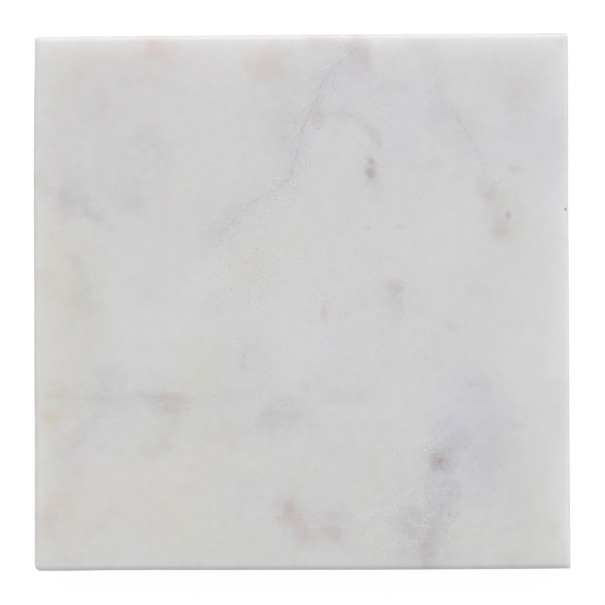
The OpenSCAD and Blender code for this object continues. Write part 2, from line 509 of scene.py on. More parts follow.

# Mineral stains, and painted shade in one rim pit
stains = {
    # back left
    "salmonBack": patch(-6.1, 44.0, 4.3, 3.1, (0.985, 0.93, 0.912), soft=0.6),
    "salmonCorner": patch(-26.5, 48, 2.7, 2.7, (0.985, 0.905, 0.90), soft=0.6),
    "amberCorner": patch(-41.4, 44.8, 2.6, 2.1, (1.0, 0.984, 0.968), soft=0.6),
    "pinkLeft": patch(-48.3, 4.8, 1.6, 1.5, (0.995, 0.945, 0.972)),
    "brownLeft": patch(-41.6, 6.6, 1.3, 2.7, (0.965, 0.945, 0.94), turn=10),
    "oliveLeft": patch(-41.3, 0.2, 2.4, 2.5, (0.965, 0.957, 0.945)),
    "plumArchLeft": patch(-3.1, 33.0, 2.1, 3.0, (0.97, 0.955, 0.955)),
    "yellowMiddle": patch(-9.4, 6.0, 3.0, 3.4, (1.0, 0.983, 0.94)),
    "limeMiddle": patch(-2.6, 11.5, 2.6, 2.4, (0.992, 0.998, 0.97)),
    "roseVein": patch(-13.9, 15.6, 3.0, 1.7, (0.978, 0.957, 0.965), turn=38, soft=0.9),
    "greyLeft": patch(-42.6, 19.6, 2.9, 2.4, (0.922, 0.92, 0.93), turn=-35, soft=0.8),
    "greyLeftTail": patch(-38.2, 15.9, 2.6, 1.0, (0.945, 0.937, 0.948), turn=-30, soft=0.8),
    "greyNearLeft": patch(-32, 18.8, 2.6, 2.3, (0.955, 0.942, 0.948), soft=0.8),
    "pinkRimLeft": patch(-4.5, 48.2, 2.2, 2.0, (0.985, 0.955, 0.975)),
    "oliveSide": patch(-36.1, 3.6, 1.6, 4.0, (0.995, 1.013, 0.983)),
    "yellowUpper": patch(-6.4, 8.9, 3.0, 1.9, (0.992, 0.993, 0.963)),
    "ochreRim": patch(-49.0, 22.5, 2.2, 2.0, (0.965, 0.962, 0.94)),
    "pinkArchLeft": patch(-25.0, 19.5, 3.0, 2.4, (1.02, 0.993, 1.003), turn=-20, soft=0.8),
    "mauveLeftLow": patch(-42.5, 17.4, 4.0, 2.2, (0.972, 0.96, 0.974)),
    "clearBackShade": patch(-34.9, 38.7, 1.5, 1.7, (1.03, 1.032, 1.036)),
    "coolSalmonLow": patch(-4.7, 42.0, 2.4, 1.7, (1.0, 1.004, 1.03)),
    "limeBackDot": patch(-35.2, 45.4, 2.4, 1.4, (0.984, 1.002, 0.978)),
    "amberBackDot": patch(-30.1, 46.4, 1.5, 1.7, (0.976, 0.97, 0.955)),
    # back right
    "darkFleck": patch(13.0, 24.2, 1.1, 2.3, (0.91, 0.88, 0.88), soft=0.6),
    "darkFleckHeart": patch(13.05, 23.8, 0.65, 0.95, (0.81, 0.79, 0.79), soft=0.6),
    "darkFleckTip": patch(13.3, 26.1, 0.5, 0.65, (0.81, 0.795, 0.815), soft=0.6),
    "darkFleckHalo": patch(13.3, 24.0, 2.2, 3.4, (0.98, 0.965, 0.96)),
    "roseDot": patch(17.3, 2.8, 1.8, 1.4, (0.945, 0.90, 0.91), soft=0.6),
    "roseDotShade": patch(17.5, 0.2, 1.4, 1.7, (0.945, 0.95, 0.93)),
    "pinkRim": patch(4.7, 48.2, 3.4, 2.0, (0.96, 0.912, 0.923), soft=0.6),
    "plumCrown": patch(11.0, 47.3, 2.2, 2.7, (0.945, 0.905, 0.92), turn=-10, soft=0.6),
    "rustRight": patch(38.8, 16.0, 0.6, 0.75, (0.84, 0.80, 0.80), soft=0.6),
    "plumRight": patch(34.7, 20.7, 1.6, 2.1, (0.945, 0.92, 0.93), turn=15, soft=0.6),
    "brownRight": patch(37.3, 13.8, 1.5, 1.8, (0.935, 0.922, 0.92), turn=-20),
    "amberDash": patch(39.9, 24.5, 1.4, 0.6, (0.945, 0.91, 0.90), soft=0.6),
    "greyPinkRight": patch(40.2, 38.7, 1.8, 2.4, (0.975, 0.95, 0.957), soft=0.8),
    "plumArch": patch(3.0, 34.0, 1.3, 1.8, (0.965, 0.925, 0.925), soft=0.6),
    "greyRightDotB": patch(33.0, 2.0, 1.6, 1.4, (0.98, 0.98, 0.98), soft=0.8),
    "greyArchDotA": patch(12.6, 13.8, 0.7, 0.5, (0.925, 0.925, 0.93)),
    "greyArchDotB": patch(18.4, 13.8, 0.7, 0.5, (0.925, 0.925, 0.93)),
    "plumCrownLow": patch(12.4, 44.6, 1.5, 1.7, (0.93, 0.895, 0.91), soft=0.6),
    "rustRightUpper": patch(36.0, 18.3, 1.7, 1.9, (0.95, 0.935, 0.94)),
    "rustRightLower": patch(37.3, 12.0, 2.0, 1.5, (0.968, 0.956, 0.953)),
    "archEnd": patch(14.0, 30.7, 1.2, 2.1, (0.945, 0.932, 0.94), soft=0.6),
    # painted shade: a dark spot in the small pit at the right rim
    "rimPit": patch(49.6, 16.9, 0.22, 0.26, (0.35, 0.35, 0.36), soft=0.5),
    "greyCrown": patch(17.3, 40.4, 1.9, 1.5, (0.955, 0.957, 0.955), soft=0.8),
    "rightVeinRim": patch(22.0, 48.4, 1.6, 1.6, (0.955, 0.96, 0.98)),
    "plumCrownWide": patch(11.8, 44.2, 3.2, 2.8, (0.997, 0.985, 0.987)),
    "greyCorner": patch(48.9, 49.0, 1.8, 2.2, (0.945, 0.952, 0.95)),
    "oliveRing": patch(20.2, 26.6, 1.6, 1.5, (0.995, 0.997, 0.99)),
    "darkFleckLow": patch(14.2, 22.8, 1.1, 1.0, (0.955, 0.95, 0.957)),
    "greyRightVein": patch(24.0, 46.8, 1.3, 1.2, (0.95, 0.957, 0.965)),
    "warmBelowFleck": patch(14.3, 20.0, 1.3, 1.5, (0.962, 0.965, 0.987)),
    "plumCrownRim": patch(10.8, 48.9, 1.2, 1.2, (0.955, 0.946, 0.962)),
    # front left
    "redFleck": patch(-2.1, -39.2, 1.1, 1.6, (0.93, 0.85, 0.86), turn=-15, soft=0.5),
    "redFleckHalo": patch(-2.5, -39.2, 2.8, 3.0, (0.973, 0.943, 0.937), turn=-20),
    "rustBar": patch(-23.6, -18.6, 2.9, 1.6, (0.925, 0.885, 0.87), turn=5, soft=0.6),
    "rustBarLeft": patch(-27.2, -17.9, 1.7, 0.9, (0.95, 0.93, 0.935), turn=20),
    "orangeDot": patch(-46.8, -21.8, 1.6, 1.5, (0.985, 0.925, 0.875), soft=0.6),
    "redCorner": patch(-47.9, -40.3, 1.8, 2.2, (0.97, 0.92, 0.92)),
    "redCornerUpper": patch(-44.7, -36.8, 2.6, 1.9, (0.993, 0.95, 0.947), turn=25),
    "limeLeft": patch(-19.8, -10.3, 4.2, 4.4, (0.992, 1.0, 0.957), soft=0.6),
    "limeDash": patch(-7.2, -12.0, 2.5, 1.8, (0.99, 0.995, 0.97), turn=10),
    "greyTriangle": patch(-3.6, -21.1, 4.2, 2.1, (0.963, 0.963, 0.963), turn=10),
    "greyDip": patch(-27.9, -27.9, 2.6, 1.4, (0.948, 0.943, 0.94)),
    "redFleckLow": patch(-0.8, -40.8, 1.4, 1.4, (0.98, 0.942, 0.934), soft=0.6),
    "orangeRim": patch(-49.2, -22.5, 3.0, 3.2, (1.0, 0.982, 0.945), soft=0.6),
    "honeyFold": patch(-9.3, -31.2, 3.0, 3.2, (0.997, 1.004, 0.973)),
    "redCornerLower": patch(-48.8, -43.2, 1.8, 2.4, (0.99, 0.96, 0.945)),
    "oliveFold": patch(-15.5, -25.3, 4.0, 2.2, (0.981, 0.975, 0.955), turn=25),
    "pinkBesideFleck": patch(-4.4, -38.6, 1.6, 1.4, (1.0, 0.968, 0.982)),
    "oliveMiddle": patch(-11.5, -0.2, 1.5, 3.4, (0.98, 0.987, 0.968)),
    "redCornerWide": patch(-44.9, -39.4, 1.9, 1.7, (1.003, 0.974, 0.992)),
    "lilacFrontRim": patch(-3.2, -45.3, 2.1, 1.5, (1.02, 1.003, 1.025)),
    "limeFrontLeft": patch(-33.1, -44.4, 1.4, 1.4, (0.98, 0.998, 0.972)),
    "yellowFrontLow": patch(-9.8, -44.8, 2.3, 2.3, (1.0, 0.998, 0.967)),
    # front right
    "purpleKnot": patch(25.2, -29.8, 1.6, 1.6, (0.84, 0.79, 0.81), soft=0.6),
    "purpleKnotHeart": patch(25.65, -29.9, 0.7, 0.5, (0.835, 0.805, 0.815), turn=10, soft=0.6),
    "purpleKnotHalo": patch(25.0, -30.0, 3.2, 3.0, (0.94, 0.925, 0.935)),
    "redTail": patch(0.0, -43.6, 1.4, 2.6, (0.965, 0.90, 0.93), turn=25),
    "pinkPatch": patch(5.4, -42.4, 4.0, 2.9, (0.972, 0.95, 0.958)),
    "roseSliver": patch(4.3, -1.9, 0.8, 1.8, (0.965, 0.915, 0.925), soft=0.6),
    "redFrontRim": patch(23.7, -46.0, 1.6, 2.8, (0.96, 0.92, 0.925), turn=-5, soft=0.6),
    "plumFront": patch(20.6, -41.2, 2.6, 3.4, (0.967, 0.945, 0.957), turn=10),
    "limeCorner": patch(43.2, -43.8, 5.6, 6.2, (0.999, 1.002, 0.985)),
    "peachCorner": patch(46.8, -43.0, 1.3, 1.3, (1.0, 0.99, 0.975)),
    "honeyFront": patch(13.4, -30.4, 1.5, 3.4, (0.99, 0.985, 0.955)),
    "greyLavender": patch(33.3, -15.8, 2.0, 2.0, (0.965, 0.965, 0.975), soft=0.8),
    "greyRightDotA": patch(28.1, -4.7, 1.0, 0.9, (0.925, 0.925, 0.925)),
    "greyBandFront": patch(25.5, -37.0, 2.6, 6.5, (0.955, 0.955, 0.965), turn=-12),
    "bandRim": patch(21, -48.5, 4, 2.5, (0.975, 0.965, 0.99)),
    "smearFront": patch(8.0, -17.7, 4.2, 1.4, (0.968, 0.968, 0.968), soft=0.8),
    "smearFrontLeft": patch(0.8, -15.9, 0.9, 0.8, (0.94, 0.94, 0.94), turn=10),
    "greySpotRight": patch(40.6, -23.4, 1.2, 0.8, (0.965, 0.965, 0.965)),
    "lilacDot": patch(11.9, -0.4, 2.2, 1.6, (0.985, 0.985, 1.015)),
    "lavenderArm": patch(26.6, -24.4, 1.8, 2.2, (0.955, 0.95, 0.985), turn=-35, soft=0.8),
    "honeyFrontLow": patch(11.4, -35.6, 1.7, 3.4, (0.992, 1.0, 0.965)),
    "pinkPatchHeart": patch(6.2, -43.4, 1.6, 1.2, (0.96, 0.927, 0.932)),
    "smearFrontRight": patch(11.3, -18.0, 1.1, 1.3, (0.957, 0.957, 0.957), soft=0.8),
    "greenGreyRight": patch(36.2, -27.6, 1.4, 1.6, (0.972, 0.982, 0.962)),
    "tinyFront": patch(23.3, -10.5, 0.4, 0.4, (0.90, 0.90, 0.90), soft=0.6),
    "greyPatchUpper": patch(7.4, -39.6, 1.7, 1.4, (0.957, 0.955, 0.966)),
    "greyUnderKnot": patch(25.7, -32.3, 1.2, 1.9, (0.955, 0.961, 0.967)),
}
# Small marks just under the top face
marks = {
    # back left
    "veinGapEnd": patch(-15.2, 14.8, 1.1, 1.7, (1.013, 1.05, 1.028)),
    "paleSalmon": patch(-2.1, 42.4, 0.8, 0.9, (1.03, 1.06, 1.055)),
    "archLeftDot": patch(-3.2, 29.2, 0.9, 1.4, (0.953, 0.937, 0.944)),
    # back right
    "veinGapCrown": patch(11.2, 45.7, 0.8, 0.7, (1.035, 1.07, 1.045)),
    "palePatchCrown": patch(4.9, 43.5, 1.4, 0.5, (1.03, 1.035, 1.01)),
    "paleCrownRim": patch(14.9, 47.8, 1.4, 1.0, (0.99, 1.035, 1.035)),
    "plumDotCrown": patch(10.2, 42.6, 1.0, 0.8, (0.96, 0.938, 0.942)),
    "paleRose": patch(17.6, 4.2, 1.4, 0.7, (1.06, 1.055, 1.06)),
    "paleLavender": patch(29.6, 37.9, 2.2, 0.8, (1.03, 1.02, 1.05)),
    "archFoot": patch(14.9, 29.6, 0.7, 1.0, (0.93, 0.93, 0.942)),
    "archDash": patch(6.7, 34.6, 1.5, 0.6, (1.0, 0.96, 0.975)),
    "ringDash": patch(24.9, 25.4, 2.1, 0.9, (0.945, 0.953, 0.948)),
    # front left
    "paleRed": patch(-2.4, -40.0, 0.8, 0.6, (1.06, 1.065, 1.08)),
    "paleRedLow": patch(-4.4, -42.7, 0.7, 1.1, (1.05, 1.04, 1.06)),
    "paleCorner": patch(-47.1, -38.0, 0.8, 1.4, (1.003, 1.045, 1.048)),
    "barTop": patch(-25.8, -17.5, 0.7, 0.6, (0.97, 0.93, 0.93)),
    "barLeft": patch(-27.9, -19.5, 1.1, 0.8, (0.95, 0.928, 0.943)),
    "barLow": patch(-26.4, -20.6, 1.5, 1.0, (0.935, 0.945, 0.945)),
    "jointDot": patch(-29.8, -17.0, 0.9, 0.7, (0.935, 0.94, 0.947)),
    # front right
    "paleBand": patch(26.9, -41.4, 0.7, 0.8, (1.04, 1.06, 1.05)),
    "paleBandRim": patch(22.2, -46.6, 1.6, 0.6, (1.055, 1.06, 1.065)),
    "paleDash": patch(21.7, -41.6, 1.4, 0.4, (1.07, 1.09, 1.075), turn=-20),
    "paleDot": patch(22.1, -38.8, 1.0, 0.7, (1.04, 1.06, 1.07)),
    "paleLeftOfBand": patch(16.2, -39.2, 1.1, 0.8, (1.06, 1.07, 1.065)),
    "knotUpper": patch(27.1, -28.0, 0.8, 0.7, (0.935, 0.93, 0.94)),
    "knotRight": patch(29.5, -27.4, 1.1, 0.7, (0.93, 0.945, 0.957)),
    "bandStreak": patch(29.3, -36.1, 0.7, 1.7, (0.93, 0.94, 0.953)),
}

# The kinds of patch: how deep they go, and how ragged their rims are
patchKinds = {
    "zone": dict(depth=60, fray=1.1),
    "stain": dict(depth=9, fray=1.2),
    "mark": dict(depth=3, fray=1.2),
    "sparkle": dict(depth=9, fray=0.6),
}

# Veins: the points that each runs through, core and shade width, how broken the core is,
# how much of the run fades in and out, tint of the core and of the shade round it
veins = {
    "longVein": dict(
        path=[
            (11.5, 48.1), (8.5, 45.6), (6.3, 43.6), (4.4, 40.8), (2.8, 37.0), (1.1, 33.7),
            (-0.1, 30.3), (-0.7, 26.9), (-1.8, 23.8), (-3.6, 21.8),
        ],
        core=0.25, around=1.5, broken=0.85, fades=(0.05, 0.14),
        tint=(0.84, 0.84, 0.87), shade=(0.955, 0.957, 0.972),
    ),
    "hookVein": dict(
        path=[
            (-0.9, 25.0), (-1.8, 23.8), (-4.7, 21.0), (-8.1, 19.1), (-11.8, 16.3), (-13.7, 13.9),
            (-16.7, 11.6), (-19.9, 7.9),
        ],
        core=0.25, around=1.5, broken=0.95, fades=(0.12, 0.4),
        tint=(0.90, 0.90, 0.915), shade=(0.958, 0.96, 0.97),
    ),
    "archVein": dict(
        path=[(3.5, 34.4), (6.3, 35.2), (9.5, 34.8), (11.7, 33.3), (13.6, 31.4), (14.3, 29.9)],
        core=0.30, around=1.2, broken=0.85, fades=(0.1, 0.2),
        tint=(0.93, 0.92, 0.92), shade=(0.97, 0.96, 0.965),
    ),
    "rightVein": dict(
        path=[
            (21.8, 48.1), (24.0, 46.2), (25.5, 43.4), (25.9, 39.7), (27.4, 36.3), (29.7, 33.7),
            (31.1, 31.4), (32.5, 28.8), (34.1, 25.6), (34.5, 21.9), (36.6, 18.2),
        ],
        core=0.30, around=1.8, broken=0.95, fades=(0.25, 0.4),
        tint=(0.91, 0.91, 0.92), shade=(0.96, 0.96, 0.97),
    ),
    "crossJoint": dict(
        path=[
            (-48.8, -17.5), (-41.4, -17.9), (-35.7, -18.1), (-28.3, -17.7), (-20.8, -18.1), (-13.3, -17.9),
            (-7.7, -18.6), (1.8, -18.8),
        ],
        core=0.27, around=1.2, broken=0.7, fades=(0.02, 0.65),
        tint=(0.943, 0.94, 0.935), shade=(0.974, 0.973, 0.97),
    ),
    "foldVein": dict(
        path=[(-0.2, -19.0), (-4.4, -19.8), (-6.2, -22.0), (-9.6, -23.9), (-12.4, -25.2), (-15.2, -26.7)],
        core=0.34, around=2.0, broken=0.9, fades=(0.1, 0.5),
        tint=(0.97, 0.97, 0.97), shade=(0.975, 0.975, 0.975),
    ),
    "leftShade": dict(
        path=[
            (-34.6, -10.5), (-35.4, -14.0), (-36.7, -17.5), (-38.2, -21.0), (-40.6, -24.8), (-43.8, -28.4),
            (-46.8, -32.6),
        ],
        core=0.5, around=2.2, broken=0.9, fades=(0.1, 0.3),
        tint=(0.96, 0.95, 0.96), shade=(0.957, 0.952, 0.963),
    ),
    "barDrop": dict(
        path=[(-23.2, -19.6), (-24.0, -22.6), (-25.4, -25.2), (-27.6, -27.6)],
        core=0.5, around=1.7, broken=0.9, fades=(0.1, 0.2),
        tint=(0.96, 0.96, 0.96), shade=(0.95, 0.95, 0.95),
    ),
    "shortDash": dict(
        path=[(-9.9, -7.9), (-10.3, -9.3), (-11.0, -10.6), (-10.9, -11.8), (-11.6, -13.4)],
        core=0.26, around=1.1, broken=0.7, fades=(0.1, 0.2),
        tint=(0.86, 0.865, 0.86), shade=(0.975, 0.977, 0.975),
    ),
    "faintDash": dict(
        path=[(-18.2, 1.4), (-16.0, -0.7), (-13.8, -2.6)],
        core=0.4, around=1.5, broken=0.9, fades=(0.3, 0.3),
        tint=(0.95, 0.95, 0.96), shade=(0.972, 0.972, 0.977),
    ),
    "backShade": dict(
        path=[(-36.4, 41.0), (-36.9, 37.8), (-38.0, 34.4), (-40.2, 32.0)],
        core=0.5, around=2.2, broken=0.9, fades=(0.3, 0.3),
        tint=(0.97, 0.96, 0.97), shade=(0.977, 0.967, 0.974),
    ),
    "mauveStreak": dict(
        path=[(-31.5, 33.6), (-28.6, 30.6), (-26.4, 28.0), (-24.0, 23.8)],
        core=0.5, around=2.0, broken=0.9, fades=(0.3, 0.3),
        tint=(0.96, 0.95, 0.955), shade=(0.965, 0.953, 0.957),
    ),
    "lavenderVein": dict(
        path=[(26.0, -29.0), (28.6, -27.0), (30.8, -25.6), (33.0, -25.2)],
        core=0.5, around=1.9, broken=0.95, fades=(0.1, 0.3),
        tint=(0.95, 0.94, 0.955), shade=(0.957, 0.955, 0.968),
    ),
    "frontBand": dict(
        path=[(29.4, -30.6), (27.9, -35.1), (26.1, -38.8), (24.4, -42.6), (23.1, -49.9)],
        core=0.6, around=3.0, broken=0.95, fades=(0.35, 0.02),
        tint=(0.94, 0.925, 0.94), shade=(0.935, 0.925, 0.94),
    ),
}

# Patches where the crystals sparkle more: a stronger painted crystal tone, whose light flecks are painted
# glints
sparkles = {
    "centreBroad": patch(0, 3, 24, 20, 0.5, soft=0.6),
    "frontBroad": patch(6, -32, 16, 14, 0.3, soft=0.6),
    "frontRightBroad": patch(27, -32, 13, 19, 0.6, turn=-15, soft=0.6),
    "backBroad": patch(6, 36, 18, 14, 0.3, soft=0.6),
    "longVeinUpper": patch(2.6, 36.8, 3, 10, 1.6, turn=-25, soft=0.6),
    "longVeinLower": patch(-6, 20, 10, 3, 1.2, turn=40, soft=0.6),
    "veinEnd": patch(-15.5, 13, 3, 3, 1.2, soft=0.6),
    "middle": patch(-6.8, 6, 11, 8, 0.9, turn=-15, soft=0.6),
    "middleRight": patch(4.6, -1.2, 2.5, 2.5, 1.2, soft=0.6),
    "rose": patch(17.5, 0.4, 3, 4.5, 1.3, turn=-25, soft=0.6),
    "belowRose": patch(20.5, -6, 2.5, 5, 0.8),
    "darkFleck": patch(12.8, 24.3, 2, 3, 2.0, soft=0.6),
    "overFleck": patch(14.5, 34, 5, 5, 0.7, soft=0.6),
    "rightVein": patch(29, 34, 3.5, 9, 0.7, turn=20),
    "rustRight": patch(36.5, 20, 5, 6, 0.8, turn=20),
    "rustBar": patch(-24.4, -18.5, 4, 2.5, 1.8, soft=0.6),
    "leftJoint": patch(-34, -15.5, 6, 4, 0.6),
    "barDrop": patch(-26.2, -25.5, 3, 4, 0.7),
    "fold": patch(-8.5, -18.5, 8, 4, 0.8, turn=-10),
    "dash": patch(-10.5, -10.8, 2.5, 4, 0.8, soft=0.6),
    "purpleKnot": patch(25.2, -29.1, 3.5, 3, 2.5, soft=0.6),
    "lavender": patch(35, -27.5, 4, 6, 0.4),
    "frontBand": patch(24, -43, 5, 7, 1.4, soft=0.6),
    "leftOfBand": patch(15.5, -41, 4, 5, 0.8),
    "redFleck": patch(2.5, -42.5, 5, 7, 1.0, turn=35, soft=0.6),
    "frontLeft": patch(-37.2, -33.6, 2, 2, 0.8),
    "quietRight": patch(27.8, 12.6, 5, 6, -0.4, soft=0.6),
}


def fieldAt(x, y):
    # the honed faces have four fields, each with only what reaches it, so that it renders quicker
    return (x > marble["split"][0]) + 2 * (y > marble["split"][1])


def sawnField(x, y):
    # the underside is a fifth one, left as sawn
    return 4


def reaches(field, low, high):
    # what lies deeper shows through the sides, so a field looks a little further along the slant
    splitX, splitY = marble["split"]
    drift = marble["sideDrift"]
    inX = high[0] > splitX if field % 2 else low[0] < splitX + drift
    inY = high[1] > splitY - drift if field > 1 else low[1] < splitY
    return inX and inY


def patchReaches(field, spot, fray, margin):
    # the sawn underside has no patches
    if field is None:
        return False
    reach = max(spot["half"]) * (1 + spot["soft"] + fray / 2) + margin
    return reaches(field, [c - reach for c in spot["centre"]], [c + reach for c in spot["centre"]])


def usePatch(tree, name, spot, kind, place, ragged, **more):
    return useGroup(
        tree,
        mineralStain,
        name,
        place=place,
        ragged=ragged,
        raggedness=kind["fray"],
        centre=(*spot["centre"], 0),
        halfSize=(*spot["half"], kind["depth"]),
        turn=math.radians(spot["turn"]),
        softness=spot["soft"],
        **more,
    )


def addPatches(tree, colour, place, ragged, table, kindName, field):
    kind = patchKinds[kindName]
    for name, spot in table.items():
        if patchReaches(field, spot, kind["fray"], marble["warp"]):
            tint = colourOf(spot["effect"])
            colour = usePatch(tree, name, spot, kind, place, ragged, colour=colour, tint=tint)["Colour"]
    return colour


def sparkleDensity(tree, place, ragged, field):
    kind = patchKinds["sparkle"]
    density = marble["quiet"]
    for name, spot in sparkles.items():
        if patchReaches(field, spot, kind["fray"], 0):
            mask = usePatch(tree, name, spot, kind, place, ragged)["Mask"]
            density = maths(tree, "MULTIPLY_ADD", mask, spot["effect"], density)
    return density


def addVein(tree, colour, place, ragged, grit, name, vein):
    start, end = Vector(vein["path"][0]), Vector(vein["path"][-1])
    run = end - start
    forward = run.normalized()
    away = vectorMaths(tree, "SUBTRACT", place, (*start, 0))
    along = vectorMaths(tree, "DOT_PRODUCT", away, (*forward / run.length, 0))
    across = vectorMaths(tree, "DOT_PRODUCT", away, (-forward.y, forward.x, 0))
    # the curve holds how far the vein swings off its straight run
    steps = [Vector(p) - start for p in vein["path"]]
    swings = [(step.dot(forward) / run.length, forward.cross(step)) for step in steps]
    # the full height of the curve is a little more than twice the widest swing
    reach = 2.2 * max(abs(swing) for _, swing in swings) + 1
    curve = tree.nodes.new("ShaderNodeFloatCurve")
    points = curve.mapping.curves[0].points
    points[0].location = (0, 0.5)
    points[1].location = (1, 0.5)
    for share, swing in swings[1:-1]:
        points.new(share, 0.5 + swing / reach)
    curve.mapping.update()
    feed(tree, curve.inputs["Value"], along)
    return useGroup(
        tree,
        veinLine,
        name,
        colour=colour,
        along=along,
        across=across,
        bend=curve.outputs[0],
        bendReach=reach,
        ragged=ragged,
        grit=grit,
        broken=vein["broken"],
        coreWidth=vein["core"],
        shadeWidth=vein["around"],
        fadeIn=vein["fades"][0],
        fadeOut=vein["fades"][1],
        tint=colourOf(vein["tint"]),
        shade=colourOf(vein["shade"]),
    )["Colour"]


def makeMarble(name, field=None):
    # without a field it is the sawn underside, which has only the veins and the clouds
    material, tree, shader = newMaterial(name)
    place = millimetrePlace(tree)
    # the bedding leans, so veins and stains drift sideways as they go down into the stone
    x, y, z = parts(tree, place)
    depth = maths(tree, "SUBTRACT", stoneHigh.z, z)
    bed = joined(
        tree,
        maths(tree, "MULTIPLY_ADD", depth, marble["slant"][0], x),
        maths(tree, "MULTIPLY_ADD", depth, marble["slant"][1], y),
        depth,
    )
    half = (0.5, 0.5, 0.5)
    coarse = noiseOf(tree, bed, marble["warpSize"], detail=1.0, output=1)
    fine = noiseOf(tree, bed, marble["fineWarpSize"], detail=1.0, output=1)
    warped = bed
    for push, reach in ((coarse, marble["warp"]), (fine, marble["fineWarp"])):
        push = vectorMaths(tree, "SCALE", vectorMaths(tree, "SUBTRACT", push, half))
        push.node.inputs["Scale"].default_value = reach
        warped = vectorMaths(tree, "ADD", warped, push)
    ragged = noiseOf(tree, bed, marble["mottleSize"], detail=4.0, roughness=0.65)
    grit = noiseOf(tree, bed, marble["grit"], detail=2.0, roughness=0.7)
    crystal = noiseOf(tree, bed, marble["crystal"], detail=0.0)

    colour = colourOf(marble["colour"])
    colour = addPatches(tree, colour, warped, ragged, zones, "zone", field)
    colour = addPatches(tree, colour, warped, ragged, stains, "stain", field)
    colour = addPatches(tree, colour, bed, ragged, marks, "mark", field)
    for veinName, vein in veins.items():
        reach = veinShape["shadeMargin"] * vein["around"] + marble["warp"]
        low = [min(p[i] for p in vein["path"]) - reach for i in (0, 1)]
        high = [max(p[i] for p in vein["path"]) + reach for i in (0, 1)]
        if field is None or reaches(field, low, high):
            colour = addVein(tree, colour, warped, ragged, grit, veinName, vein)
    for perMillimetre, low, high, tint in marble["clouds"]:
        colour = useGroup(
            tree,
            softClouds,
            "clouds",
            colour=colour,
            place=warped,
            perMillimetre=perMillimetre,
            low=low,
            high=high,
            tint=colourOf(tint),
        )["Colour"]

    # calcite crystals: most are quiet, and a few flash light or dark; the light flashes are painted
    # glints, the dark ones the crystals' own tone
    flash = maths(tree, "POWER", maths(tree, "SUBTRACT", crystal, 0.5), 3.0)
    flash = maths(tree, "MULTIPLY", flash, marble["crystalContrast"])
    flash = maths(tree, "MULTIPLY", flash, sparkleDensity(tree, bed, ragged, field))
    # the grain lightens as much as it darkens
    level = 1 - (marble["mottle"] + marble["tintMottle"]) / 2
    mottle = maths(tree, "MULTIPLY_ADD", ragged, marble["mottle"], level)
    grain = maths(tree, "ADD", mottle, flash)
    grain = joined(tree, grain, grain, grain)
    hue = vectorMaths(tree, "MULTIPLY_ADD", fine, [marble["tintMottle"]] * 3, grain)
    colour = blend(tree, 1.0, colour, hue, "MULTIPLY")
    feed(tree, shader.inputs["Base Color"], colour)

    shine = maths(tree, "MULTIPLY_ADD", crystal, 0.6, maths(tree, "MULTIPLY", ragged, 0.4))
    low, high = marble["sawnRoughness" if field is None else "roughness"]
    feed(tree, shader.inputs["Roughness"], remap(tree, shine, 0.25, 0.75, low, high, smooth=False))

    height = crystal
    if field is None:
        # arcs left by the round saw blade
        swept = vectorMaths(tree, "SUBTRACT", place, (*marble["sawCentre"], 0))
        sweptX, sweptY, _ = parts(tree, swept)
        radius = vectorMaths(tree, "LENGTH", joined(tree, sweptX, sweptY, 0.0))
        arc = maths(tree, "SINE", maths(tree, "MULTIPLY", radius, 2 * math.pi / marble["sawPitch"]))
        stroke = noiseOf(tree, joined(tree, radius, 0.0, 0.0), marble["sawStrokeSize"], detail=3.0)
        stroke = maths(tree, "MULTIPLY", stroke, marble["sawStrokeHeight"])
        stroke = maths(tree, "MULTIPLY_ADD", arc, marble["sawArcHeight"], stroke)
        height = maths(tree, "ADD", height, stroke)
    addBump(tree, shader, height, 1.0, marble["relief"])
    shader.inputs["IOR"].default_value = marble["ior"]
    shader.inputs["Subsurface Weight"].default_value = marble["subsurface"]
    shader.inputs["Subsurface Radius"].default_value = marble["glowRadius"]
    shader.inputs["Subsurface Scale"].default_value = marble["glowScale"] * mm
    tidyLayout(tree, 12)
    return material


slab = {
    "easeRadius": 1.0,  # eased edge round the top
    "easeWander": 0.13,  # how much the ease widens and narrows, as a share
    "wanderSizes": (19, 5),  # lengths of its long and its short swings
    "arris": 0.5,  # small chamfer round the underside
    "arrisWander": 0.25,
    "arrisBulge": 0.06,  # how far the rubbed arris stands out from a flat chamfer
    "nibble": 0.3,  # how far the arris is nibbled away at most
    "nibbleSize": 0.9,
    "nibbleSpared": 0.25,  # the higher this is, the fewer nibbles there are
    "ripple": 0.02,  # how far the sides ripple
    "rippleSize": 9,
    "cornerRadii": (1.1, 0.3, 0.4, 0.8),  # front left, front right, back right, back left
    "mitreRadius": 0.3,  # softness of the line where two eases meet
    "pitch": 0.95,  # mesh size over the two faces
    "columnRoom": 0.12,  # room that the columns across a pit keep to the even ones
    "leastColumn": 0.05,
    "cornerSteps": 5,
    "easeSteps": 10,
    "sideSteps": 7,
    "arrisSteps": 3,
    "hone": 0.012,  # how far the faces dip from flat
    "honeSizes": (23, 7),
    # how the front, right, back and left sides bow outwards or inwards:
    # height, place along the side, spread
    "bows": (
        ((0.07, -5, 45), (0.15, -46, 9), (-0.07, 40, 16), (-0.09, 49, 5)),
        ((-0.10, -20, 30), (-0.06, 17, 10)),
        ((-0.01, 0, 40), (-0.02, 25, 12), (-0.07, -38, 13), (-0.09, 47, 8)),
        ((0.14, -19, 22), (-0.06, 0, 60), (-0.13, -47, 7), (0.07, 11, 9)),
    ),
}

# Small pits: centre on the slab, radius, depth
pits = {
    "backLeftPit": ((-17.1, 48.9), 0.32, 0.10),
    "backRightPit": ((15.0, 48.9), 0.34, 0.10),
    "rightPit": ((49.5, 17.0), 0.26, 0.12),
    "darkFleckPit": ((13.1, 24.0), 0.35, 0.05),
    "purpleKnotPit": ((25.7, -29.7), 0.40, 0.06),
    "frontPit": ((-19.6, -49.2), 0.45, 0.09),
    "leftPit": ((-49.3, -29.0), 0.40, 0.08),
}


